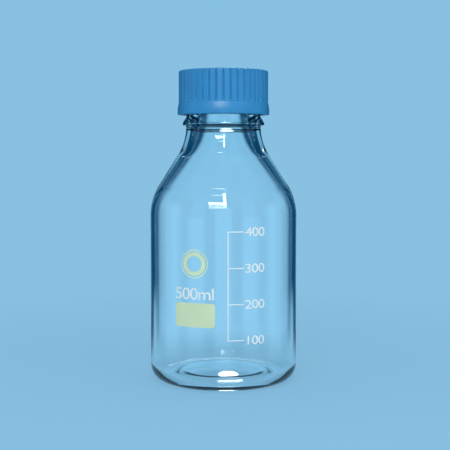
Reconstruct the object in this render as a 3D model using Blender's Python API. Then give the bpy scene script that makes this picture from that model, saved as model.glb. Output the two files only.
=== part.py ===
"""A 500 ml reagent bottle: borosilicate glass with a screw neck, a plastic pouring ring, and a ribbed screw
cap with a loose sealing disc.

The bottle stands on its base at the origin, +Z is up its axis, and its printed side faces -Y. All lengths are
in metres. The glass is turned about Z; its neck carries a right-handed external thread, and the cap carries
the matching internal one, so the cap rises by one pitch for each turn.
"""
import math

import bmesh
import bpy

# Glass body
BODY_RADIUS = 0.0430
BODY_WALL = 0.0024
BASE_THICKNESS = 0.0036
BASE_PUSH_UP = 0.0020
BASE_CROWN = 0.0020
BASE_CORNER_RADIUS = 0.0088
FOOT_WIDTH = 0.0052
PUSH_UP_SLOPE_WIDTH = 0.0050
NECK_BASE_Z = 0.1490
SHOULDER_ROUND = 0.0336
THROAT_ROUND = 0.0317
SHOULDER_SLOPE = math.radians(32.4)
INNER_SHOULDER_ROUND = 0.0220
INNER_THROAT_ROUND = 0.0310
INNER_SHOULDER_SLOPE = math.radians(37.0)

# Glass neck, from the collar bead up to the lip
THROAT_RADIUS = 0.0219
BEAD_OVERHANG = 0.0020
BEAD_HEIGHT = 0.0046
BEAD_NOSE_HEIGHT = 0.0013
CORE_RADIUS = 0.0209
BORE_RADIUS = 0.0148
LIP_STEP = 0.0019
LIP_HEIGHT = 0.0064
LIP_ROUND_LIMIT = 0.0014
THREAD_PITCH = 0.0040
THREAD_HEIGHT = 0.0015
THREAD_ROOT_WIDTH = 0.0024
THREAD_CREST_WIDTH = 0.0009
GLASS_THREAD_TURNS = 2.0
BEAD_TO_THREAD = 0.0052
THREAD_TO_LIP = 0.0018

# Pouring ring
RING_WALL = 0.0011
RING_SKIRT = 0.0059
RING_FLANGE = 0.0011
RING_DRIP_EDGE = 0.0003

# Sealing disc
SEAL_THICKNESS = 0.0017
SEAL_CHAMFER = 0.0003

# Screw cap
CAP_WALL = 0.0028
CAP_TOP = 0.0023
CAP_BAND_HEIGHT = 0.0066
CAP_BAND_STEP = 0.0007
CAP_TOP_ROUND = 0.0018
CAP_EDGE_CHAMFER = 0.0003
CAP_THREAD_START = 0.3
CAP_THREAD_TURNS = 1.75
GROOVE_COUNT = 40
GROOVE_RADIUS = 0.0006

# Printed enamel
ENAMEL_THICKNESS = 0.0002
SCALE_LOW_Z = 0.0299
SCALE_SPACING = 0.0201
SCALE_LINE_ANGLE = math.radians(3.1)
SCALE_TICK = 0.0093
SCALE_LINE_WIDTH = 0.00055
SCALE_TICKS = 4
PANEL_WIDTH = 0.0242
PANEL_HEIGHT = 0.0136
PANEL_CORNER = 0.0017
PANEL_ANGLE = math.radians(-22.1)
PANEL_CENTRE_Z = 0.0437
ROUNDEL_RADIUS = 0.0080
ROUNDEL_LINE = 0.0006
ROUNDEL_CENTRE_Z = 0.0723

# Clearances between neighbours
SEAT_GAP = 0.0003
THREAD_RADIAL_GAP = 0.0009
CREST_GAP = 0.00045
SEAL_SIDE_GAP = 0.0008
CAP_BEAD_GAP = 0.0018
RING_BORE_STEP = 0.0005

# How finely round shapes are divided
BOTTLE_SIDES = 48
CAP_SIDES = 2 * GROOVE_COUNT
THREAD_STEPS_PER_TURN = 48
THREAD_EMBED = 0.0008
THREAD_FADE_TURNS = 0.08
MERGE = 1e-6

# Heights and radii that follow from the sizes above
BEAD_TOP_Z = NECK_BASE_Z + BEAD_HEIGHT
THREAD_LOW_Z = BEAD_TOP_Z + BEAD_TO_THREAD
LIP_LOW_Z = THREAD_LOW_Z + GLASS_THREAD_TURNS * THREAD_PITCH + THREAD_TO_LIP
GLASS_TOP_Z = LIP_LOW_Z + LIP_HEIGHT
LIP_RADIUS = CORE_RADIUS - LIP_STEP
LIP_ROUND = min(LIP_ROUND_LIMIT, 0.4 * (LIP_RADIUS - BORE_RADIUS))
GLASS_CREST_RADIUS = CORE_RADIUS + THREAD_HEIGHT
INNER_RADIUS = BODY_RADIUS - BODY_WALL
RING_BASE_Z = GLASS_TOP_Z + SEAT_GAP - RING_SKIRT
RING_TOP_Z = GLASS_TOP_Z + SEAT_GAP + RING_FLANGE
SEAL_BASE_Z = RING_TOP_Z + SEAT_GAP
CAP_INNER_RADIUS = GLASS_CREST_RADIUS + THREAD_RADIAL_GAP
CAP_CREST_RADIUS = CORE_RADIUS + CREST_GAP
CAP_RADIUS = CAP_INNER_RADIUS + CAP_WALL
CAP_BASE_Z = BEAD_TOP_Z + CAP_BEAD_GAP
CAP_INNER_DEPTH = SEAL_BASE_Z + SEAL_THICKNESS + SEAT_GAP - CAP_BASE_Z
CAP_HEIGHT = CAP_INNER_DEPTH + CAP_TOP
ENAMEL_RADIUS = BODY_RADIUS + SEAT_GAP


def clear_scene():
    """Remove every object of the file that the script is run in."""
    for old in list(bpy.data.objects):
        bpy.data.objects.remove(old, do_unlink=True)


def material(name, colour, roughness, transmission=0.0, ior=1.5):
    """Return a Principled material of one colour."""
    made = bpy.data.materials.new(name)
    made.use_nodes = True
    shader = made.node_tree.nodes["Principled BSDF"]
    shader.inputs["Base Color"].default_value = (*colour, 1.0)
    shader.inputs["Roughness"].default_value = roughness
    shader.inputs["Metallic"].default_value = 0.0
    shader.inputs["Transmission Weight"].default_value = transmission
    shader.inputs["IOR"].default_value = ior
    return made


def add_object(name, bm, made_of=None, z=0.0, parent=None, smooth_angle=30.0):
    """Turn a bmesh into a smooth-shaded object whose origin is on the bottle's axis, at height z."""
    mesh = bpy.data.meshes.new(name)
    bm.to_mesh(mesh)
    bm.free()
    mesh.shade_smooth()
    mesh.set_sharp_from_angle(angle=math.radians(smooth_angle))
    if made_of:
        mesh.materials.append(made_of)
    made = bpy.data.objects.new(name, mesh)
    made.location.z = z
    made.parent = parent
    bpy.context.scene.collection.objects.link(made)
    return made


def add_cutter(name, bm, target, operation):
    """Join a bmesh to the target, or cut it away, by a Boolean with a hidden operand that follows the target."""
    cutter = add_object(name, bm, parent=target)
    cutter.hide_render = True
    cutter.display_type = "WIRE"
    boolean = target.modifiers.new(name, "BOOLEAN")
    boolean.operation = operation
    boolean.solver = "EXACT"
    boolean.object = cutter


def arc(centre_r, centre_z, radius, start, end, steps):
    """Return (radius, height) points along an arc, from one angle in degrees to another."""
    angles = (math.radians(start + (end - start) * i / steps) for i in range(steps + 1))
    return [(centre_r + radius * math.cos(a), centre_z + radius * math.sin(a)) for a in angles]


def dome(edge_radius, edge_z, rise, steps):
    """Return (radius, height) points of a shallow dome, from the axis out to just short of its edge."""
    shares = (i / steps for i in range(steps))
    return [(edge_radius * s, edge_z + rise * (1.0 - s * s)) for s in shares]


def turned(profile, sides):
    """Spin (radius, height) points about Z into a closed bmesh; a profile off the axis is a closed loop."""
    bm = bmesh.new()
    verts = [bm.verts.new((r, 0.0, z)) for r, z in profile]
    edges = [bm.edges.new(pair) for pair in zip(verts, verts[1:])]
    if profile[0][0] > 0.0:
        edges.append(bm.edges.new((verts[-1], verts[0])))
    bmesh.ops.spin(
        bm, geom=verts + edges, cent=(0, 0, 0), axis=(0, 0, 1), dvec=(0, 0, 0), angle=math.tau, steps=sides
    )
    bmesh.ops.remove_doubles(bm, verts=bm.verts, dist=MERGE)
    bmesh.ops.recalc_face_normals(bm, faces=bm.faces)
    return bm


def helical_ridge(root_radius, crest_radius, zero_z, start, turns):
    """Sweep the thread's section up a right-handed helix that would cross +X at zero_z.

    The ridge starts a share of a turn further on, and both of its ends sink away into the wall.
    """
    bm = bmesh.new()
    steps = round(turns * THREAD_STEPS_PER_TURN)
    sections = []
    for i in range(steps + 1):
        turn = turns * i / steps
        fade = min(1.0, turn / THREAD_FADE_TURNS, (turns - turn) / THREAD_FADE_TURNS)
        share = 0.1 + 0.9 * fade
        crest = root_radius + share * (crest_radius - root_radius)
        middle = zero_z + THREAD_PITCH * (start + turn)
        angle = math.tau * (start + turn)
        section = (
            (root_radius, middle - THREAD_ROOT_WIDTH / 2),
            (crest, middle - THREAD_CREST_WIDTH / 2),
            (crest, middle + THREAD_CREST_WIDTH / 2),
            (root_radius, middle + THREAD_ROOT_WIDTH / 2),
        )
        sections.append([bm.verts.new((r * math.cos(angle), r * math.sin(angle), z)) for r, z in section])
    for before, after in zip(sections, sections[1:]):
        for k in range(4):
            n = (k + 1) % 4
            bm.faces.new((before[k], before[n], after[n], after[k]))
    bm.faces.new(sections[0])
    bm.faces.new(sections[-1])
    bmesh.ops.recalc_face_normals(bm, faces=bm.faces)
    return bm


def shoulder(body_radius, round_radius, throat_radius, throat_round, slope):
    """Return the S-shaped shoulder from the body's top to the throat, and the height where it starts.

    A convex arc, a straight slope and a concave arc meet without a kink, whatever their sizes.
    """
    fall = (round_radius + throat_round) * (1.0 - math.cos(slope))
    straight = (body_radius - throat_radius - fall) / math.sin(slope)
    rise = (round_radius + throat_round) * math.sin(slope) + straight * math.cos(slope)
    degrees = math.degrees(slope)
    low = arc(body_radius - round_radius, 0.0, round_radius, 0.0, degrees, 5)
    high = arc(throat_radius + throat_round, rise, throat_round, 180.0 + degrees, 180.0, 5)
    return low + high, rise


def glass_profile():
    """Return the glass's closed outline from the underside, up the outside, over the lip and down the inside."""
    foot = BODY_RADIUS - BASE_CORNER_RADIUS
    outer, rise = shoulder(BODY_RADIUS, SHOULDER_ROUND, THROAT_RADIUS, THROAT_ROUND, SHOULDER_SLOPE)
    shoulder_z = NECK_BASE_Z - rise
    inner, _ = shoulder(
        INNER_RADIUS, INNER_SHOULDER_ROUND, BORE_RADIUS, INNER_THROAT_ROUND, INNER_SHOULDER_SLOPE
    )
    corner = BASE_CORNER_RADIUS - BODY_WALL
    floor_radius = INNER_RADIUS - corner
    low_radius = foot - FOOT_WIDTH
    crown_radius = low_radius - PUSH_UP_SLOPE_WIDTH

    points = dome(crown_radius, BASE_PUSH_UP, BASE_CROWN, 3)
    points += [(crown_radius, BASE_PUSH_UP), (low_radius, 0.0)]
    points += arc(foot, BASE_CORNER_RADIUS, BASE_CORNER_RADIUS, -90.0, 0.0, 5)
    points += [(r, shoulder_z + z) for r, z in outer]
    points += [
        (THROAT_RADIUS + 0.6 * BEAD_OVERHANG, NECK_BASE_Z + 0.15 * BEAD_NOSE_HEIGHT),
        (THROAT_RADIUS + BEAD_OVERHANG, NECK_BASE_Z + 0.7 * BEAD_NOSE_HEIGHT),
        (THROAT_RADIUS + BEAD_OVERHANG, NECK_BASE_Z + 1.3 * BEAD_NOSE_HEIGHT),
        (CORE_RADIUS, BEAD_TOP_Z),
        (CORE_RADIUS, LIP_LOW_Z - LIP_STEP / 2),
        (LIP_RADIUS, LIP_LOW_Z),
    ]
    points += arc(LIP_RADIUS - LIP_ROUND, GLASS_TOP_Z - LIP_ROUND, LIP_ROUND, 0.0, 90.0, 2)
    points += arc(BORE_RADIUS + LIP_ROUND, GLASS_TOP_Z - LIP_ROUND, LIP_ROUND, 90.0, 180.0, 2)
    points += [(r, shoulder_z + z) for r, z in reversed(inner)]
    points += arc(floor_radius, BASE_THICKNESS + corner, corner, 0.0, -90.0, 4)
    points += [(low_radius, BASE_THICKNESS), (crown_radius, BASE_THICKNESS + BASE_PUSH_UP)]
    points += reversed(dome(crown_radius, BASE_THICKNESS + BASE_PUSH_UP, BASE_CROWN, 3))
    return points


def make_bottle(glass):
    """The glass bottle, with its thread raised on the neck."""
    bottle = add_object("glass_bottle", turned(glass_profile(), BOTTLE_SIDES), glass)
    root = CORE_RADIUS - THREAD_EMBED
    thread = helical_ridge(root, GLASS_CREST_RADIUS, THREAD_LOW_Z, 0.0, GLASS_THREAD_TURNS)
    add_cutter("neck_thread", thread, bottle, "UNION")
    return bottle


def make_pouring_ring(plastic):
    """The ring snapped over the lip: a skirt outside the glass and a flange across its top."""
    inside = LIP_RADIUS + SEAT_GAP
    outside = inside + RING_WALL
    flange_under = RING_SKIRT
    top = RING_SKIRT + RING_FLANGE
    opening = BORE_RADIUS + RING_BORE_STEP
    profile = [
        (inside, 0.0),
        (outside - RING_WALL / 3, 0.0),
        (outside, RING_WALL / 2),
        (outside, flange_under),
        (outside + RING_DRIP_EDGE, top - RING_FLANGE / 2),
        (outside + RING_DRIP_EDGE, top - RING_FLANGE / 4),
        (outside, top),
        (opening + RING_FLANGE / 3, top),
        (opening, top - RING_FLANGE / 3),
        (opening, flange_under),
        (inside, flange_under),
    ]
    return add_object("pouring_ring", turned(profile, BOTTLE_SIDES), plastic, z=RING_BASE_Z)


def make_seal(liner):
    """The loose disc inside the cap, which closes on the pouring ring."""
    radius = CAP_INNER_RADIUS - SEAL_SIDE_GAP
    profile = [
        (0.0, 0.0),
        (radius - SEAL_CHAMFER, 0.0),
        (radius, SEAL_CHAMFER),
        (radius, SEAL_THICKNESS - SEAL_CHAMFER),
        (radius - SEAL_CHAMFER, SEAL_THICKNESS),
        (0.0, SEAL_THICKNESS),
    ]
    return add_object("seal_liner", turned(profile, BOTTLE_SIDES), liner, z=SEAL_BASE_Z)


def cap_grooves():
    """The upright grooves that leave the cap's grip ribs, as one bmesh of separate rods."""
    bm = bmesh.new()
    low = CAP_BAND_HEIGHT + CAP_BAND_STEP + GROOVE_RADIUS
    height = CAP_HEIGHT - low + CAP_TOP_ROUND
    for i in range(GROOVE_COUNT):
        angle = math.tau * i / GROOVE_COUNT
        rod = bmesh.ops.create_cone(
            bm, segments=8, radius1=GROOVE_RADIUS, radius2=GROOVE_RADIUS, depth=height, cap_ends=True
        )
        place = (CAP_RADIUS * math.cos(angle), CAP_RADIUS * math.sin(angle), low + height / 2)
        bmesh.ops.translate(bm, verts=rod["verts"], vec=place)
    return bm


def make_cap(plastic):
    """The screw cap, with its origin at the middle of its open end."""
    band_radius = CAP_RADIUS + CAP_BAND_STEP
    chamfer = CAP_EDGE_CHAMFER
    profile = [
        (0.0, CAP_INNER_DEPTH),
        (CAP_INNER_RADIUS, CAP_INNER_DEPTH),
        (CAP_INNER_RADIUS, 2 * chamfer),
        (CAP_INNER_RADIUS + 2 * chamfer, 0.0),
        (band_radius - chamfer, 0.0),
        (band_radius, chamfer),
        (band_radius, CAP_BAND_HEIGHT),
        (CAP_RADIUS, CAP_BAND_HEIGHT + CAP_BAND_STEP),
    ]
    profile += arc(CAP_RADIUS - CAP_TOP_ROUND, CAP_HEIGHT - CAP_TOP_ROUND, CAP_TOP_ROUND, 0.0, 90.0, 3)
    profile += [(0.0, CAP_HEIGHT)]
    cap = add_object("screw_cap", turned(profile, CAP_SIDES), plastic, z=CAP_BASE_Z)
    zero = THREAD_LOW_Z - THREAD_PITCH / 2 - CAP_BASE_Z
    root = CAP_INNER_RADIUS + THREAD_EMBED
    thread = helical_ridge(root, CAP_CREST_RADIUS, zero, CAP_THREAD_START, CAP_THREAD_TURNS)
    add_cutter("cap_thread", thread, cap, "UNION")
    add_cutter("cap_grooves", cap_grooves(), cap, "DIFFERENCE")
    return cap


def make_enamel(name, quads, centre_angle, enamel):
    """Wrap flat (across, height) quads round the glass and thicken them outwards into one raised mark."""
    bm = bmesh.new()
    for quad in quads:
        corners = []
        for across, z in quad:
            angle = centre_angle + across / ENAMEL_RADIUS
            place = (ENAMEL_RADIUS * math.sin(angle), -ENAMEL_RADIUS * math.cos(angle), z)
            corners.append(bm.verts.new(place))
        bm.faces.new(corners)
    bmesh.ops.remove_doubles(bm, verts=bm.verts, dist=MERGE)
    made = add_object(name, bm, enamel)
    thick = made.modifiers.new("thickness", "SOLIDIFY")
    thick.thickness = ENAMEL_THICKNESS
    thick.offset = 1.0
    return made


def span_quads(lefts, rights, low, high, columns):
    """Split a rectangle into upright columns, so that it can bend round the glass."""
    edges = [lefts + (rights - lefts) * i / columns for i in range(columns + 1)]
    return [((a, low), (b, low), (b, high), (a, high)) for a, b in zip(edges, edges[1:])]


def scale_quads():
    """The graduation ladder: one upright line and a tick for each hundred millilitres."""
    width = SCALE_LINE_WIDTH
    low = SCALE_LOW_Z - width / 2
    quads = []
    for i in range(SCALE_TICKS):
        tick_low = low + i * SCALE_SPACING
        quads += span_quads(0.0, width, tick_low, tick_low + width, 1)
        quads += span_quads(width, SCALE_TICK, tick_low, tick_low + width, 4)
        if i + 1 < SCALE_TICKS:
            quads += span_quads(0.0, width, tick_low + width, tick_low + SCALE_SPACING, 1)
    return quads


def panel_quads():
    """The rounded writing panel, in columns that are shorter near its corners."""
    half = PANEL_WIDTH / 2
    corner_shares = (1.0, 0.92, 0.7, 0.38, 0.0)
    left = [-half + PANEL_CORNER * (1.0 - share) for share in corner_shares]
    middle = [(half - PANEL_CORNER) * i / 4 for i in range(-3, 4)]
    stations = left + middle + [-x for x in reversed(left)]
    outline = []
    for x in stations:
        into_corner = max(0.0, abs(x) - (half - PANEL_CORNER))
        reach = PANEL_CORNER - math.sqrt(max(0.0, PANEL_CORNER**2 - into_corner**2))
        outline.append((x, PANEL_HEIGHT / 2 - reach))
    return [
        (
            (a, PANEL_CENTRE_Z - height_a),
            (b, PANEL_CENTRE_Z - height_b),
            (b, PANEL_CENTRE_Z + height_b),
            (a, PANEL_CENTRE_Z + height_a),
        )
        for (a, height_a), (b, height_b) in zip(outline, outline[1:])
    ]


def roundel_quads():
    """The plain printed ring above the panel."""
    steps = 36
    inside = ROUNDEL_RADIUS - ROUNDEL_LINE

    def place(radius, i):
        angle = math.tau * (i % steps) / steps
        return radius * math.cos(angle), ROUNDEL_CENTRE_Z + radius * math.sin(angle)

    return [
        (place(inside, i), place(ROUNDEL_RADIUS, i), place(ROUNDEL_RADIUS, i + 1), place(inside, i + 1))
        for i in range(steps)
    ]


def main():
    clear_scene()
    glass = material("borosilicate_glass", (0.80, 0.93, 0.93), 0.02, transmission=1.0, ior=1.47)
    cap_plastic = material("cap_plastic", (0.035, 0.235, 0.52), 0.38)
    ring_plastic = material("ring_plastic", (0.045, 0.27, 0.56), 0.35)
    liner = material("liner_silicone", (0.80, 0.80, 0.77), 0.55)
    cream = material("cream_enamel", (0.52, 0.72, 0.50), 0.60)
    white = material("white_enamel", (0.62, 0.86, 0.90), 0.55)

    make_bottle(glass)
    make_pouring_ring(ring_plastic)
    make_seal(liner)
    make_cap(cap_plastic)
    make_enamel("graduation_scale", scale_quads(), SCALE_LINE_ANGLE, white)
    make_enamel("writing_panel", panel_quads(), PANEL_ANGLE, cream)
    make_enamel("printed_roundel", roundel_quads(), PANEL_ANGLE, cream)


main()
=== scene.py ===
"""The finish of a 500 ml reagent bottle: clear glass, a ribbed blue screw cap, and the print.

Every piece stands for the plain solid of the same part in the frame, at the same place and size.
The hidden pouring ring and liner are made too. Lengths are in metres, the bottle stands on the
origin and its print faces -Y.
"""
import math

import bmesh
import bpy
import numpy as np
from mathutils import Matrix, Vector


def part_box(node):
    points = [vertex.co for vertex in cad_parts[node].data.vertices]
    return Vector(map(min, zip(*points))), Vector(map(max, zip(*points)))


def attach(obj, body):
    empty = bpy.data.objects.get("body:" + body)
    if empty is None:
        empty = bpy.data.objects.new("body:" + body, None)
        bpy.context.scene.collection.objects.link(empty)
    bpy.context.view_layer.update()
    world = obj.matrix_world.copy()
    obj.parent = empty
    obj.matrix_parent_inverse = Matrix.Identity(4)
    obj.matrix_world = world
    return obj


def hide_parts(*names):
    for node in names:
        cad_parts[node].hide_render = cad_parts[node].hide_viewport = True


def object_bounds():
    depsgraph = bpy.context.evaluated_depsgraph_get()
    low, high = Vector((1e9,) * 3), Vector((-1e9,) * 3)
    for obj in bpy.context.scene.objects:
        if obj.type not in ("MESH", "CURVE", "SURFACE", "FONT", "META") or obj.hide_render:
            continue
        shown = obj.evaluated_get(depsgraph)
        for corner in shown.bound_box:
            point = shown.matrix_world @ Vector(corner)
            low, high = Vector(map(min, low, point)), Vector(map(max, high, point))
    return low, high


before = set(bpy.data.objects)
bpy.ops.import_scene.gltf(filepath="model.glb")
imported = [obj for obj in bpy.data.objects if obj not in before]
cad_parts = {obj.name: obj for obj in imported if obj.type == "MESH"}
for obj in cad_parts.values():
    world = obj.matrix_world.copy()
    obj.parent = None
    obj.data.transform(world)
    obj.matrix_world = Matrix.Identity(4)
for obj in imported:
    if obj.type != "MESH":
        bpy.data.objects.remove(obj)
CAD_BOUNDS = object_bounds()

# Places and overall sizes, read from the frame
_, GLASS_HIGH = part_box("glass_bottle")
RING_LOW, RING_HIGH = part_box("pouring_ring")
SEAL_LOW, SEAL_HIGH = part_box("seal_liner")
CAP_LOW, CAP_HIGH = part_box("screw_cap")
SCALE_LOW, SCALE_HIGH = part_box("graduation_scale")
PANEL_LOW, PANEL_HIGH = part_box("writing_panel")
ROUNDEL_LOW, ROUNDEL_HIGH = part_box("printed_roundel")

# Two lengths or places nearer than this are taken as one
TOUCHING = 1e-7

# Glass body
GLASS_STEPS = 192
BODY_RADIUS = GLASS_HIGH.x
GLASS_TOP_Z = GLASS_HIGH.z
WALL = 0.0024
BASE_THICKNESS = 0.0036
BASE_PUSH_UP = 0.0020
PUNT_RADIUS = 0.0240
PUNT_SLOPE_WIDTH = 0.0050
PUNT_CROWN = 0.0020
BASE_CORNER_RADIUS = 0.0088
SHOULDER_ROUND = 0.0336
THROAT_ROUND = 0.0317
SHOULDER_SLOPE = math.radians(32.4)
INNER_SHOULDER_ROUND = 0.0270
INNER_THROAT_ROUND = 0.0350
INNER_SHOULDER_SLOPE = math.radians(35.5)

# Glass neck, measured down from the lip
LIP_HEIGHT = 0.0064
THREAD_TO_LIP = 0.0018
THREAD = (0.0, 2.0)
PITCH = 0.0040
BEAD_TO_THREAD = 0.0052
BEAD_HEIGHT = 0.0046
THROAT_RADIUS = 0.0219
BEAD_RADIUS = 0.0239
BEAD_NOSE_HEIGHT = 0.0013
CORE_RADIUS = 0.0209
LIP_RADIUS = 0.0190
BORE_RADIUS = 0.0148
THREAD_HEIGHT = 0.0015
THREAD_ROOT = 0.0024
THREAD_FADE_TURNS = 0.09

LIP_LOW_Z = GLASS_TOP_Z - LIP_HEIGHT
THREAD_ZERO_Z = LIP_LOW_Z - THREAD_TO_LIP - THREAD[1] * PITCH
BEAD_TOP_Z = THREAD_ZERO_Z - BEAD_TO_THREAD
NECK_BASE_Z = BEAD_TOP_Z - BEAD_HEIGHT

# Pouring ring
RING_STEPS = 160
RING_CLEARANCE = 0.0003
RING_WALL = 0.0011

# Liner
SEAL_STEPS = 128
SEAL_STEP = 0.0003
SEAL_BEAD_INNER_RADIUS = 0.0146
SEAL_BEAD_OUTER_RADIUS = 0.0212

# Screw cap
CAP_BAND_RADIUS = CAP_HIGH.x
CAP_BAND_STEP = 0.0007
CAP_RADIUS = CAP_BAND_RADIUS - CAP_BAND_STEP
CAP_BAND_HEIGHT = 0.0066
CAP_WALL = 0.0028
CAP_TOP = 0.0023
CAP_THREAD = (0.3, 2.05)
CAP_CREST_RADIUS = CORE_RADIUS + 0.00045
RIB_COUNT = 40
GROOVE_DEPTH = 0.0008
GROOVE_HALF_WIDTH = 0.00066
GROOVE_RUN_OUT = 0.0009
RIB_CROWN = 0.00010
CAP_EDGE = 0.0021
CAP_DISH_RADIUS = 0.0202
CAP_DISH_DEPTH = 0.0005
CAP_MOUTH_BEVEL = 0.0006

# Print
ENAMEL_LIFT = 0.00002
ENAMEL_THICKNESS = 0.00004
ENAMEL_RADIUS = BODY_RADIUS + ENAMEL_LIFT
NODE_RADIUS = BODY_RADIUS + 0.0004
SCALE_LINE = 0.00055
SCALE_MARKS = 4
VOLUME_STEP = 100
NUMERAL_GAP = 0.0006
NUMERAL_HEIGHT = 0.0050
NUMERAL_WIDTH = 0.0118
ONE_INDENT = 0.0014
PANEL_CORNER = 0.0017
ROUNDEL_LINE = 0.0006
ROUNDEL_GAP = 0.0008
ROUNDEL_BAND = 0.0022
VOLUME_RISE = 0.0052
VOLUME_HEIGHT = 0.0066
VOLUME_WIDTH = 0.0232
FIGURE_COLUMN = 0.0006

# Plain light studio
PALE = (0.250, 0.530, 0.760)
DEEP = (0.004, 0.055, 0.130)
SOFT_LIGHT = (0.92, 0.97, 1.0)
SOFT_STRENGTH = 0.40
PANEL_STRENGTH = 1.18
FLOOR_RADIUS = 0.9
LAMP_DISTANCE = 0.95
LAMP_AIM_Z = 0.10

# Camera
CAMERA_PLACE = (0.0009, -0.600, 0.1353)
CAMERA_PITCH = 4.23
CAMERA_LENS = 81.64
CAMERA_SENSOR = 36.0


def arc(centre_r, centre_z, radius, start, end, steps):
    """Return (radius, height) points along an arc, from one angle in degrees to another."""
    angles = np.radians(np.linspace(start, end, steps + 1))
    return [(centre_r + radius * math.cos(a), centre_z + radius * math.sin(a)) for a in angles]


def soften(corners, steps=6):
    """Round an outline's (radius, height, fillet) corners; one with no fillet stays as it is."""
    points = []
    for i, (r, z, fillet) in enumerate(corners):
        here = Vector((r, z))
        if not fillet:
            points.append(tuple(here))
            continue
        before = Vector(corners[i - 1][:2]) - here
        after = Vector(corners[(i + 1) % len(corners)][:2]) - here
        start = here + before.normalized() * min(fillet, 0.48 * before.length)
        end = here + after.normalized() * min(fillet, 0.48 * after.length)
        for k in range(steps + 1):
            t = k / steps
            points.append(tuple(start * (1 - t) ** 2 + here * 2 * t * (1 - t) + end * t**2))
    return points


def fill(low, high, radius, spacing):
    """Return even points straight up or down a wall of one radius, without its two ends."""
    count = max(2, round(abs(high - low) / spacing))
    return [(radius, low + (high - low) * i / count) for i in range(1, count)]


def turned(name, outline, angles, relief=None):
    """Spin an outline about the axis into a closed smooth mesh.

    relief(angles, radius, height), where it is given, returns the radii that the points move to.
    """
    rings = []
    verts = []
    for r, z in outline:
        if r < TOUCHING:
            rings.append([len(verts)])
            verts.append((0.0, 0.0, z))
            continue
        radii = np.full(len(angles), r) if relief is None else relief(angles, r, z)
        rings.append(list(range(len(verts), len(verts) + len(angles))))
        verts += [(q * math.cos(a), q * math.sin(a), z) for q, a in zip(radii, angles)]
    pairs = list(zip(rings, rings[1:]))
    if len(rings[0]) > 1:
        pairs.append((rings[-1], rings[0]))
    faces = []
    for low, high in pairs:
        for i in range(len(angles)):
            n = (i + 1) % len(angles)
            if len(low) == 1:
                faces.append((low[0], high[n], high[i]))
            elif len(high) == 1:
                faces.append((low[i], low[n], high[0]))
            else:
                faces.append((low[i], low[n], high[n], high[i]))
    mesh = bpy.data.meshes.new(name)
    mesh.from_pydata(verts, [], faces)
    bm = bmesh.new()
    bm.from_mesh(mesh)
    bmesh.ops.recalc_face_normals(bm, faces=bm.faces)
    bm.to_mesh(mesh)
    bm.free()
    mesh.shade_smooth()
    return link(name, mesh)


def link(name, mesh):
    """Put a mesh into the scene as an object."""
    made = bpy.data.objects.new(name, mesh)
    bpy.context.scene.collection.objects.link(made)
    return made


def even_angles(count):
    """Return angles spread evenly round a full turn."""
    return np.arange(count) * math.tau / count


def smooth_step(low, high, value):
    """Rise smoothly from 0 at low to 1 at high."""
    t = np.clip((value - low) / (high - low), 0.0, 1.0)
    return t * t * (3.0 - 2.0 * t)


def thread_ridge(angles, z, zero_z, ends):
    """Return how far a rounded helical ridge stands up at each angle of one height, from 0 to 1.

    The helix would cross +X at zero_z; ends are the turns where the ridge starts and stops.
    """
    turn = angles / math.tau
    nearest = np.round((z - zero_z) / PITCH - turn)
    along = np.clip(turn + nearest, *ends)
    away = np.abs(z - zero_z - along * PITCH)
    fade = smooth_step(0.0, THREAD_FADE_TURNS, np.minimum(along - ends[0], ends[1] - along))
    return (1.0 - smooth_step(0.15, 1.0, away / (THREAD_ROOT / 2))) * fade


def shoulder(body_radius, round_radius, throat_radius, throat_round, slope, steps=20):
    """Return the S-shaped shoulder, counted from its lower end, and its rise."""
    fall = (round_radius + throat_round) * (1.0 - math.cos(slope))
    straight = (body_radius - throat_radius - fall) / math.sin(slope)
    rise = (round_radius + throat_round) * math.sin(slope) + straight * math.cos(slope)
    degrees = math.degrees(slope)
    low = arc(body_radius - round_radius, 0.0, round_radius, 0.0, degrees, steps)
    high = arc(throat_radius + throat_round, rise, throat_round, 180.0 + degrees, 180.0, steps)
    return low + high, rise


def dome(edge_radius, edge_z, rise, steps=10):
    """Return unrounded corners of a shallow dome, from the axis to just short of its edge."""
    return [
        (edge_radius * i / steps, edge_z + rise * (1.0 - (i / steps) ** 2), 0.0)
        for i in range(steps)
    ]


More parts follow.
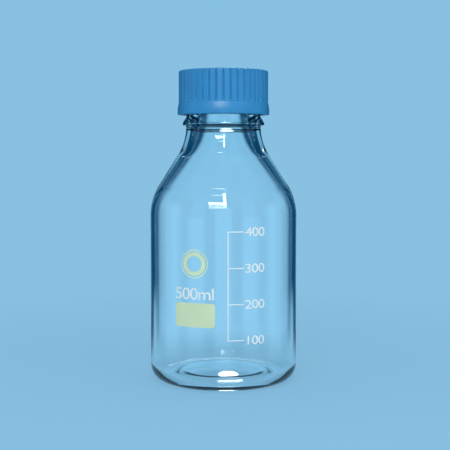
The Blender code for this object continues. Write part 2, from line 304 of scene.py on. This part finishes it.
def glass_outline():
    """Return the glass's closed outline: underside, outside, lip, inside."""
    foot = BODY_RADIUS - BASE_CORNER_RADIUS
    inner_radius = BODY_RADIUS - WALL
    outer, rise = shoulder(
        BODY_RADIUS, SHOULDER_ROUND, THROAT_RADIUS, THROAT_ROUND, SHOULDER_SLOPE
    )
    inner, _ = shoulder(
        inner_radius, INNER_SHOULDER_ROUND, BORE_RADIUS, INNER_THROAT_ROUND, INNER_SHOULDER_SLOPE
    )
    shoulder_z = NECK_BASE_Z - rise
    corner = BASE_CORNER_RADIUS - WALL
    floor_radius = inner_radius - corner

    points = soften(
        [
            (0.0, BASE_PUSH_UP + PUNT_CROWN, 0.0),
            *dome(PUNT_RADIUS, BASE_PUSH_UP, PUNT_CROWN)[1:],
            (PUNT_RADIUS, BASE_PUSH_UP, 0.0030),
            (PUNT_RADIUS + PUNT_SLOPE_WIDTH, 0.0, 0.0022),
            (foot, 0.0, 0.0),
        ],
        8,
    )[:-1]
    points += arc(foot, BASE_CORNER_RADIUS, BASE_CORNER_RADIUS, -90.0, 0.0, 20)
    points += fill(BASE_CORNER_RADIUS, shoulder_z, BODY_RADIUS, 0.010)
    points += [(r, shoulder_z + z) for r, z in outer[:-1]]
    points += soften(
        [
            (THROAT_RADIUS, NECK_BASE_Z - 0.0012, 0.0),
            (THROAT_RADIUS + 0.0001, NECK_BASE_Z - 0.0001, 0.0009),
            (BEAD_RADIUS, NECK_BASE_Z + 0.2 * BEAD_NOSE_HEIGHT, 0.0011),
            (BEAD_RADIUS + 0.0001, NECK_BASE_Z + 1.3 * BEAD_NOSE_HEIGHT, 0.0011),
            (CORE_RADIUS + 0.0009, BEAD_TOP_Z + 0.0007, 0.0010),
            (CORE_RADIUS, BEAD_TOP_Z + 0.0022, 0.0008),
            (CORE_RADIUS, BEAD_TOP_Z + 0.0028, 0.0),
        ]
    )
    points += fill(BEAD_TOP_Z + 0.0028, LIP_LOW_Z - 0.0016, CORE_RADIUS, 0.00022)
    points += soften(
        [
            (CORE_RADIUS, LIP_LOW_Z - 0.0014, 0.0),
            (CORE_RADIUS, LIP_LOW_Z - 0.0006, 0.0006),
            (LIP_RADIUS, LIP_LOW_Z + 0.0004, 0.0008),
            (LIP_RADIUS, GLASS_TOP_Z, 0.0022),
            (BORE_RADIUS, GLASS_TOP_Z, 0.0022),
            (BORE_RADIUS, GLASS_TOP_Z - 0.0060, 0.0),
        ],
        10,
    )
    points += [(r, shoulder_z + z) for r, z in reversed(inner)]
    points += arc(floor_radius, BASE_THICKNESS + corner, corner, 0.0, -90.0, 20)[:-1]
    points += soften(
        [
            (floor_radius, BASE_THICKNESS, 0.0),
            (PUNT_RADIUS + PUNT_SLOPE_WIDTH, BASE_THICKNESS, 0.0026),
            (PUNT_RADIUS, BASE_THICKNESS + BASE_PUSH_UP, 0.0026),
            *reversed(dome(PUNT_RADIUS, BASE_THICKNESS + BASE_PUSH_UP, PUNT_CROWN)),
        ],
        8,
    )
    return points


def glass_relief(angles, r, z):
    """Raise the neck thread from the outside of the core."""
    if r < CORE_RADIUS - 1e-6 or z < BEAD_TOP_Z or z > LIP_LOW_Z:
        return np.full(len(angles), r)
    return r + THREAD_HEIGHT * thread_ridge(angles, z, THREAD_ZERO_Z, THREAD)


def make_glass(finish):
    """The bottle, in one closed skin with a real wall, so that light bends through it."""
    bottle = turned("glass_shell", glass_outline(), even_angles(GLASS_STEPS), glass_relief)
    put(bottle, finish, "bottle", "glass_bottle")


def make_ring(finish):
    """The pouring ring, with its thin flared drip edge."""
    inside = LIP_RADIUS + RING_CLEARANCE
    outside = inside + RING_WALL
    drip = RING_HIGH.x
    opening = BORE_RADIUS + 0.0005
    under = GLASS_TOP_Z + RING_CLEARANCE
    outline = soften(
        [
            (inside, RING_LOW.z, 0.0002),
            (outside - 0.0003, RING_LOW.z, 0.0003),
            (outside, RING_LOW.z + 0.0006, 0.0004),
            (outside, under - 0.0010, 0.0006),
            (drip, under + 0.0004, 0.0003),
            (drip - 0.0001, RING_HIGH.z, 0.0003),
            (drip - 0.0011, RING_HIGH.z - 0.0002, 0.0006),
            (opening + 0.0012, RING_HIGH.z, 0.0010),
            (opening, RING_HIGH.z - 0.0006, 0.0006),
            (opening, under, 0.0002),
            (inside, under, 0.0003),
        ]
    )
    ring = turned("pour_ring", outline, even_angles(RING_STEPS))
    put(ring, finish, "bottle", "pouring_ring")


def make_seal(finish):
    """The liner: a soft disc with a raised sealing ring round its underside."""
    radius = SEAL_HIGH.x
    low, high = SEAL_LOW.z, SEAL_HIGH.z
    outline = soften(
        [
            (0.0, low + 0.0004, 0.0),
            (0.0140, low + 0.0004, 0.0006),
            (SEAL_BEAD_INNER_RADIUS, low, 0.0004),
            (SEAL_BEAD_OUTER_RADIUS, low, 0.0004),
            (0.0216, low + SEAL_STEP, 0.0003),
            (radius, low + SEAL_STEP, 0.0003),
            (radius, high, 0.0003),
            (0.0, high, 0.0),
        ]
    )
    liner = turned("liner_disc", outline, even_angles(SEAL_STEPS))
    put(liner, finish, "seal", "seal_liner")


def cap_angles():
    """Return angles round the cap that crowd together in the grooves."""
    groove = (-0.155, -0.12, -0.08, -0.04, 0.0, 0.04, 0.08, 0.12, 0.155)
    rib = (0.24, 0.37, 0.5, 0.63, 0.76)
    shares = groove + rib
    return np.array([(i + s) * math.tau / RIB_COUNT for i in range(RIB_COUNT) for s in shares])


def cap_relief(angles, r, z):
    """Cut the grooves into the cap's outside and raise the thread inside it."""
    inner = CAP_RADIUS - CAP_WALL
    if abs(r - inner) < 1e-6:
        ridge = thread_ridge(np.mod(angles, math.tau), z, THREAD_ZERO_Z - PITCH / 2, CAP_THREAD)
        return r - (inner - CAP_CREST_RADIUS) * ridge
    if r < inner + 0.0015:
        return np.full(len(angles), r)
    pitch = math.tau / RIB_COUNT
    across = (np.mod(angles / pitch + 0.5, 1.0) - 0.5) * pitch * CAP_RADIUS
    shape = 1.0 - smooth_step(0.25, 1.0, np.abs(across) / GROOVE_HALF_WIDTH)
    start = CAP_LOW.z + CAP_BAND_HEIGHT + CAP_BAND_STEP
    depth = GROOVE_DEPTH * shape * smooth_step(start, start + GROOVE_RUN_OUT, z)
    crown = RIB_CROWN * (across / (pitch * CAP_RADIUS / 2)) ** 2
    limit = CAP_RADIUS - depth - crown * smooth_step(start - 0.0003, start, z)
    return np.minimum(r, limit) if z > start else np.full(len(angles), r)


def make_cap(finish):
    """The ribbed screw cap, open below, with a shallow dished top."""
    inner = CAP_RADIUS - CAP_WALL
    low, high = CAP_LOW.z, CAP_HIGH.z
    roof = high - CAP_TOP
    step_z = low + CAP_BAND_HEIGHT
    outline = [(0.0, roof)] + soften([(inner, roof, 0.0006)])
    outline += fill(roof - 0.0006, low + 0.0010, inner, 0.0004)
    outline += soften(
        [
            (inner, low + 0.0008, 0.0),
            (inner + 0.0002, low + 0.0005, 0.0003),
            (inner + CAP_MOUTH_BEVEL, low, 0.0004),
            (CAP_BAND_RADIUS, low, 0.0006),
            (CAP_BAND_RADIUS, low + 0.0030, 0.0016),
            (CAP_BAND_RADIUS - 0.0003, step_z - 0.0014, 0.0012),
            (CAP_RADIUS, step_z + CAP_BAND_STEP, 0.0006),
        ]
    )
    rib_low = step_z + CAP_BAND_STEP
    outline += fill(rib_low + 0.0002, rib_low + 0.0014, CAP_RADIUS, 0.0002)
    outline += fill(rib_low + 0.0014, high - 0.0022, CAP_RADIUS, 0.0030)
    outline += soften(
        [
            (CAP_RADIUS, high - CAP_EDGE, 0.0),
            (CAP_RADIUS, high, 0.0019),
            (CAP_DISH_RADIUS + 0.0006, high, 0.0006),
            (CAP_DISH_RADIUS, high - CAP_DISH_DEPTH, 0.0006),
            (0.0100, high - CAP_DISH_DEPTH, 0.0),
            (0.0, high - CAP_DISH_DEPTH, 0.0),
        ],
        8,
    )
    cap = turned("cap_shell", outline, cap_angles(), cap_relief)
    put(cap, finish, "cap", "screw_cap")


def wrap(bm, centre_angle):
    """Bend flat (across, height, depth) vertices round the glass, from an angle off the front."""
    for v in bm.verts:
        angle = centre_angle + v.co.x / ENAMEL_RADIUS
        radius = ENAMEL_RADIUS + v.co.z
        v.co = (radius * math.sin(angle), -radius * math.cos(angle), v.co.y)


def front_angle(low, high):
    """Return the angle off the front of a printed node's middle, and its span, from its box."""
    left = math.asin(low.x / NODE_RADIUS)
    right = math.asin(high.x / NODE_RADIUS)
    return (left + right) / 2, right - left


def print_mark(name, polygons, centre_angle, finish, node=None):
    """Make flat polygons of (across, height) into one thin raised print on the glass."""
    bm = bmesh.new()
    for polygon in polygons:
        bm.faces.new([bm.verts.new((x, z, 0.0)) for x, z in polygon])
    bmesh.ops.remove_doubles(bm, verts=bm.verts, dist=TOUCHING)
    wrap(bm, centre_angle)
    bmesh.ops.recalc_face_normals(bm, faces=bm.faces)
    outward = sum((f.normal.dot(f.calc_center_median()) for f in bm.faces), 0.0)
    if outward < 0.0:
        bmesh.ops.reverse_faces(bm, faces=bm.faces)
    mesh = bpy.data.meshes.new(name)
    bm.to_mesh(mesh)
    bm.free()
    made = link(name, mesh)
    thick = made.modifiers.new("thickness", "SOLIDIFY")
    thick.thickness = ENAMEL_THICKNESS
    thick.offset = 1.0
    put(made, finish, "bottle", node)


def columns(left, right, low, high, widest=0.0008):
    """Split a rectangle into columns narrow enough to bend round the glass."""
    count = max(1, math.ceil((right - left) / widest))
    edges = np.linspace(left, right, count + 1)
    return [((a, low), (b, low), (b, high), (a, high)) for a, b in zip(edges, edges[1:])]


def make_scale(finish):
    """The graduation ladder, on the heights of its node, and its numbers."""
    width = SCALE_LINE
    angle, span = front_angle(SCALE_LOW, SCALE_HIGH)
    left = -span * ENAMEL_RADIUS / 2
    right = -left
    spacing = (SCALE_HIGH.z - SCALE_LOW.z - width) / (SCALE_MARKS - 1)
    polygons = []
    for i in range(SCALE_MARKS):
        low = SCALE_LOW.z + i * spacing
        polygons += columns(left, left + width, low, low + width)
        polygons += columns(left + width, right, low, low + width)
        if i < SCALE_MARKS - 1:
            polygons += columns(left, left + width, low + width, low + spacing)
    print_mark("scale_lines", polygons, angle, finish, "graduation_scale")
    for i in range(SCALE_MARKS):
        middle = SCALE_LOW.z + width / 2 + i * spacing
        text = str(VOLUME_STEP * (i + 1))
        indent = ONE_INDENT if text[0] == "1" else 0.0
        start = angle + (right + NUMERAL_GAP + indent) / ENAMEL_RADIUS
        size = (NUMERAL_WIDTH - indent, NUMERAL_HEIGHT)
        label(f"numeral_{text}", text, start, middle, size, finish)


def make_panel(finish):
    """The cream writing panel, a rounded rectangle; return its angle and its half width."""
    angle, span = front_angle(PANEL_LOW, PANEL_HIGH)
    half = span * ENAMEL_RADIUS / 2
    middle = (PANEL_LOW.z + PANEL_HIGH.z) / 2
    tall = (PANEL_HIGH.z - PANEL_LOW.z) / 2
    corner = PANEL_CORNER
    stations = [-half + corner * (1.0 - math.cos(a)) for a in np.linspace(0.0, math.pi / 2, 9)]
    stations += list(np.linspace(-half + corner, half - corner, 28)[1:-1])
    stations += [-x for x in reversed(stations[:9])]
    past = [max(0.0, abs(x) - half + corner) for x in stations]
    heights = [tall - corner + math.sqrt(max(0.0, corner**2 - x**2)) for x in past]
    ends = list(zip(stations, heights))
    polygons = [
        ((a, middle - p), (b, middle - q), (b, middle + q), (a, middle + p))
        for (a, p), (b, q) in zip(ends, ends[1:])
    ]
    print_mark("panel_print", polygons, angle, finish, "writing_panel")
    return angle, half


def ring_polygons(radius, line, middle, steps=96):
    """Return the polygons of a flat printed ring."""
    turns = np.linspace(0.0, math.tau, steps + 1)[:-1]
    outer = [(radius * math.cos(a), middle + radius * math.sin(a)) for a in turns]
    inner_radius = radius - line
    inner = [(inner_radius * math.cos(a), middle + inner_radius * math.sin(a)) for a in turns]
    return [
        (inner[i], outer[i], outer[(i + 1) % steps], inner[(i + 1) % steps]) for i in range(steps)
    ]


def make_roundel(finish):
    """The plain printed rings above the panel."""
    angle, _ = front_angle(ROUNDEL_LOW, ROUNDEL_HIGH)
    middle = (ROUNDEL_LOW.z + ROUNDEL_HIGH.z) / 2
    radius = (ROUNDEL_HIGH.z - ROUNDEL_LOW.z) / 2
    ring = ring_polygons(radius, ROUNDEL_LINE, middle)
    print_mark("roundel_ring", ring, angle, finish, "printed_roundel")
    band = ring_polygons(radius - (ROUNDEL_LINE + ROUNDEL_GAP), ROUNDEL_BAND, middle)
    print_mark("roundel_band", band, angle, finish)


def label(name, text, left_angle, middle, size, finish):
    """Print generic figures on the glass, filling a (width, height) size.

    The text is turned to a thin mesh, cut into columns and bent round the glass.
    """
    width, height = size
    curve = bpy.data.curves.new(name, "FONT")
    curve.body = text
    curve.resolution_u = 6
    curve.extrude = ENAMEL_THICKNESS / 2
    curve.offset = 0.004
    curve.space_character = 0.92
    source = bpy.data.objects.new(name, curve)
    bpy.context.scene.collection.objects.link(source)
    evaluated = source.evaluated_get(bpy.context.evaluated_depsgraph_get())
    mesh = bpy.data.meshes.new_from_object(evaluated)
    bpy.data.objects.remove(source)
    bm = bmesh.new()
    bm.from_mesh(mesh)
    low = Vector([min(v.co[k] for v in bm.verts) for k in range(3)])
    high = Vector([max(v.co[k] for v in bm.verts) for k in range(3)])
    for v in bm.verts:
        v.co.x = (v.co.x - low.x) / (high.x - low.x) * width
        v.co.y = middle + ((v.co.y - low.y) / (high.y - low.y) - 0.5) * height
        v.co.z = (v.co.z - low.z) / (high.z - low.z) * ENAMEL_THICKNESS
    bmesh.ops.remove_doubles(bm, verts=bm.verts, dist=TOUCHING)
    for x in np.arange(FIGURE_COLUMN, width, FIGURE_COLUMN):
        everything = bm.verts[:] + bm.edges[:] + bm.faces[:]
        bmesh.ops.bisect_plane(bm, geom=everything, plane_co=(x, 0, 0), plane_no=(1, 0, 0))
    wrap(bm, left_angle)
    bmesh.ops.recalc_face_normals(bm, faces=bm.faces)
    bm.to_mesh(mesh)
    bm.free()
    put(link(name, mesh), finish, "bottle")


def put(piece, finish, body, node=None):
    """Give a piece its material, its body and the plain solid it stands for."""
    piece.data.materials.clear()
    piece.data.materials.append(finish)
    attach(piece, body)
    if node:
        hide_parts(node)


class Nodes:
    """A small helper that builds one material's or world's node tree."""

    def __init__(self, owner):
        owner.use_nodes = True
        self.tree = owner.node_tree
        self.tree.nodes.clear()

    def add(self, kind, links=None, **settings):
        """Add a node, set its properties, and link or set its inputs by name or number."""
        node = self.tree.nodes.new(kind)
        for key, value in settings.items():
            setattr(node, key, value)
        for key, value in (links or {}).items():
            socket = node.inputs[key]
            if isinstance(value, bpy.types.NodeSocket):
                self.tree.links.new(value, socket)
            else:
                socket.default_value = value
        return node

    def math(self, operation, a, b=0.0):
        """Return the result of one sum on two values or sockets."""
        return self.add("ShaderNodeMath", {0: a, 1: b}, operation=operation).outputs[0]

    def ramp(self, value, low, high, start, end):
        """Return a value that goes smoothly from start to end as another goes from low to high."""
        links = {"Value": value, "From Min": low, "From Max": high, "To Min": start, "To Max": end}
        node = self.add("ShaderNodeMapRange", links, interpolation_type="SMOOTHSTEP")
        return node.outputs["Result"]

    def blend(self, share, a, b):
        """Return a value between a and b."""
        return self.add("ShaderNodeMix", {"Factor": share, "A": a, "B": b}).outputs["Result"]


def object_noise(nodes, scale, detail=4.0, roughness=0.55):
    """Return a noise node in the piece's own coordinates, in metres."""
    place = nodes.add("ShaderNodeTexCoord").outputs["Object"]
    links = {"Vector": place, "Scale": scale, "Detail": detail, "Roughness": roughness}
    return nodes.add("ShaderNodeTexNoise", links)


def spread(nodes, value, low, high):
    """Return a noise value stretched to run from low to high."""
    links = {"Value": value, "From Min": 0.3, "From Max": 0.7, "To Min": low, "To Max": high}
    return nodes.add("ShaderNodeMapRange", links).outputs["Result"]


def glass_finish():
    """Clear borosilicate glass: smooth, faintly uneven, and blue-green along its wall."""
    made = bpy.data.materials.new("borosilicate_glass")
    nodes = Nodes(made)
    waves = object_noise(nodes, 55.0, 1.0, 0.4)
    bump = nodes.add(
        "ShaderNodeBump", {"Strength": 0.02, "Distance": 0.0006, "Height": waves.outputs["Fac"]}
    )
    shader = nodes.add(
        "ShaderNodeBsdfPrincipled",
        {
            "Base Color": (1.0, 1.0, 1.0, 1.0),
            "Roughness": 0.0,
            "IOR": 1.474,
            "Transmission Weight": 1.0,
            "Normal": bump.outputs["Normal"],
        },
    )
    tint = nodes.add(
        "ShaderNodeVolumeAbsorption", {"Color": (0.30, 0.78, 0.86, 1.0), "Density": 28.0}
    )
    links = {"Surface": shader.outputs["BSDF"], "Volume": tint.outputs["Volume"]}
    nodes.add("ShaderNodeOutputMaterial", links)
    return made


def solid_finish(name, colour, roughness, grain, grain_depth, variation=0.06, subsurface=0.0):
    """A moulded or fired surface: slight colour drift, uneven gloss and a fine grain."""
    made = bpy.data.materials.new(name)
    nodes = Nodes(made)
    drift = object_noise(nodes, 60.0)
    shade = spread(nodes, drift.outputs["Fac"], 1.0 - variation, 1.0 + variation)
    tinted = nodes.add("ShaderNodeVectorMath", {0: colour, "Scale": shade}, operation="SCALE")
    patches = object_noise(nodes, 220.0)
    gloss = spread(nodes, patches.outputs["Fac"], roughness - 0.05, roughness + 0.06)
    fine = object_noise(nodes, grain, 3.0, 0.6)
    bump = nodes.add(
        "ShaderNodeBump", {"Strength": 0.5, "Distance": grain_depth, "Height": fine.outputs["Fac"]}
    )
    shader = nodes.add(
        "ShaderNodeBsdfPrincipled",
        {
            "Base Color": tinted.outputs["Vector"],
            "Roughness": gloss,
            "IOR": 1.49,
            "Subsurface Weight": subsurface,
            "Subsurface Radius": (0.001, 0.001, 0.001),
            "Normal": bump.outputs["Normal"],
        },
    )
    nodes.add("ShaderNodeOutputMaterial", {"Surface": shader.outputs["BSDF"]})
    return made


def make_world():
    """A plain pale surround; glass and gloss see it as soft panels with deeper gaps between them.

    Four panels stand level with the bottle, and four lie lower, between them. The lower ones in
    front reach higher than those behind.
    """
    world = bpy.data.worlds.new("studio")
    bpy.context.scene.world = world
    nodes = Nodes(world)
    ray = nodes.add("ShaderNodeLightPath").outputs
    outward = nodes.add("ShaderNodeTexCoord").outputs["Generated"]
    direction = nodes.add("ShaderNodeSeparateXYZ", {0: outward}).outputs
    turn = nodes.math("ARCTAN2", direction["X"], direction["Y"])
    wave = nodes.math("COSINE", nodes.math("MULTIPLY", turn, 4.0))
    level = nodes.ramp(wave, 0.35, 0.80, 0.0, 1.0)
    level = nodes.math("MULTIPLY", level, nodes.ramp(direction["Z"], 0.30, 0.45, 1.0, 0.2))
    level = nodes.math("MULTIPLY", level, nodes.ramp(direction["Z"], -0.31, -0.22, 0.0, 1.0))
    lower = nodes.ramp(wave, -0.80, -0.35, 1.0, 0.0)
    raised = nodes.math("MULTIPLY", nodes.ramp(direction["Y"], -0.30, 0.10, 1.0, 0.0), 0.17)
    lower_z = nodes.math("SUBTRACT", direction["Z"], raised)
    lower = nodes.math("MULTIPLY", lower, nodes.ramp(lower_z, -0.19, -0.13, 1.0, 0.0))
    amount = nodes.math("MAXIMUM", level, lower)
    around = nodes.add(
        "ShaderNodeMix", {"Factor": amount, "A": (*DEEP, 1.0), "B": (*PALE, 1.0)}, data_type="RGBA"
    )
    seen = nodes.math("MAXIMUM", ray["Is Glossy Ray"], ray["Is Transmission Ray"])
    soft = nodes.add(
        "ShaderNodeBackground", {"Color": (*SOFT_LIGHT, 1.0), "Strength": SOFT_STRENGTH}
    )
    bent = nodes.add(
        "ShaderNodeBackground", {"Color": around.outputs["Result"], "Strength": PANEL_STRENGTH}
    )
    plain = nodes.add("ShaderNodeBackground", {"Color": (*PALE, 1.0), "Strength": 1.0})
    mixed = nodes.add("ShaderNodeMixShader", {0: seen, 1: soft.outputs[0], 2: bent.outputs[0]})
    links = {0: ray["Is Camera Ray"], 1: mixed.outputs[0], 2: plain.outputs[0]}
    final = nodes.add("ShaderNodeMixShader", links)
    nodes.add("ShaderNodeOutputWorld", {"Surface": final.outputs[0]})


def make_floor():
    """A pale round floor that fades into the surround, so that it shows no edge."""
    bm = bmesh.new()
    bmesh.ops.create_circle(bm, cap_ends=True, segments=96, radius=FLOOR_RADIUS)
    mesh = bpy.data.meshes.new("floor")
    bm.to_mesh(mesh)
    bm.free()
    floor = link("floor", mesh)
    floor.location.z = CAD_BOUNDS[0].z - 0.0001
    made = bpy.data.materials.new("floor")
    nodes = Nodes(made)
    ray = nodes.add("ShaderNodeLightPath").outputs
    seen = nodes.math("MAXIMUM", ray["Is Glossy Ray"], ray["Is Transmission Ray"])
    place = nodes.add("ShaderNodeNewGeometry").outputs["Position"]
    away = nodes.add("ShaderNodeVectorMath", {0: place}, operation="LENGTH").outputs["Value"]
    wide = nodes.ramp(away, 0.06, 0.42, 0.0, 1.0)
    near = nodes.ramp(away, 0.06, 0.17, 0.0, 1.0)
    fade = nodes.blend(seen, wide, near)
    matt = nodes.add("ShaderNodeBsdfDiffuse", {"Color": (*PALE, 1.0)})
    glow = nodes.add("ShaderNodeEmission", {"Color": (*PALE, 1.0), "Strength": 1.0})
    in_view = nodes.math("MULTIPLY", ray["Is Camera Ray"], 0.7)
    share = nodes.math("MAXIMUM", in_view, nodes.math("MULTIPLY", seen, 0.85))
    lit = nodes.add("ShaderNodeMixShader", {0: share, 1: matt.outputs[0], 2: glow.outputs[0]})
    clear = nodes.add("ShaderNodeBsdfTransparent")
    mixed = nodes.add("ShaderNodeMixShader", {0: fade, 1: lit.outputs[0], 2: clear.outputs[0]})
    nodes.add("ShaderNodeOutputMaterial", {"Surface": mixed.outputs[0]})
    mesh.materials.append(made)


def add_lamp(name, turn, rise, width, height, strength, shape="RECTANGLE", fill_only=False):
    """Add a flat lamp: its direction and its apparent size from the bottle are in degrees.

    The turn is counted to the right from straight in front, the rise from level. A lamp for fill
    only isn't mirrored by the pieces, or seen through the glass.
    """
    turn, rise = math.radians(turn), math.radians(rise)
    level = math.cos(rise)
    out = Vector((math.sin(turn) * level, -math.cos(turn) * level, math.sin(rise)))
    data = bpy.data.lights.new(name, "AREA")
    data.shape = shape
    data.size = 2.0 * LAMP_DISTANCE * math.tan(math.radians(width) / 2)
    data.size_y = 2.0 * LAMP_DISTANCE * math.tan(math.radians(height) / 2)
    data.energy = 4.0 * data.size * data.size_y * strength
    lamp = bpy.data.objects.new(name, data)
    lamp.location = out * LAMP_DISTANCE + Vector((0.0, 0.0, LAMP_AIM_Z))
    lamp.rotation_euler = out.to_track_quat("Z", "Y").to_euler()
    lamp.visible_camera = False
    lamp.visible_glossy = not fill_only
    lamp.visible_transmission = not fill_only
    bpy.context.scene.collection.objects.link(lamp)


def make_lights():
    """One window in front, bright along three sides, a small one behind, and soft fill."""
    add_lamp("window_sill", -9.5, 26.5, 27.0, 6.0, 15.0)
    add_lamp("window_side", 2.0, 38.0, 4.0, 19.0, 15.0)
    add_lamp("window_head", -10.0, 57.0, 18.0, 1.5, 10.0)
    add_lamp("back_window", 178.5, 23.5, 6.0, 10.0, 5.0, "ELLIPSE")
    add_lamp("right_fill", 48.0, 20.0, 30.0, 36.0, 1.5, fill_only=True)
    add_lamp("left_fill", -70.0, 25.0, 40.0, 40.0, 0.30, fill_only=True)
    add_lamp("top_fill", 0.0, 90.0, 40.0, 40.0, 0.7, fill_only=True)


def make_camera():
    """A level long-lens view of the printed side, tipped slightly down."""
    data = bpy.data.cameras.new("camera")
    data.sensor_width = CAMERA_SENSOR
    data.lens = CAMERA_LENS
    data.clip_start = 0.01
    data.clip_end = 20.0
    camera = bpy.data.objects.new("camera", data)
    camera.location = CAMERA_PLACE
    camera.rotation_euler = (math.radians(90.0 - CAMERA_PITCH), 0.0, 0.0)
    bpy.context.scene.collection.objects.link(camera)
    bpy.context.scene.camera = camera


def main():
    """Make every piece, then the plain studio round them."""
    glass = glass_finish()
    cap_plastic = solid_finish("cap_plastic", (0.024, 0.245, 0.545), 0.36, 2600.0, 0.00003)
    ring_plastic = solid_finish("ring_plastic", (0.040, 0.250, 0.560), 0.34, 2600.0, 0.00002)
    silicone = solid_finish("liner_silicone", (0.74, 0.74, 0.70), 0.55, 3000.0, 0.00003, 0.04)
    white = solid_finish("white_enamel", (0.84, 0.93, 0.93), 0.50, 4200.0, 0.00001, 0.04, 0.6)
    cream = solid_finish("cream_enamel", (0.68, 0.82, 0.55), 0.60, 4200.0, 0.00001, 0.05, 0.6)

    make_glass(glass)
    make_ring(ring_plastic)
    make_seal(silicone)
    make_cap(cap_plastic)
    make_scale(white)
    panel_angle, panel_half = make_panel(cream)
    make_roundel(cream)
    left = panel_angle - (panel_half - 0.0002) / ENAMEL_RADIUS
    size = (VOLUME_WIDTH, VOLUME_HEIGHT)
    label("volume_figure", "500ml", left, PANEL_HIGH.z + VOLUME_RISE, size, white)

    make_world()
    make_floor()
    make_lights()
    make_camera()
    bpy.context.scene.view_settings.view_transform = "Standard"


main()
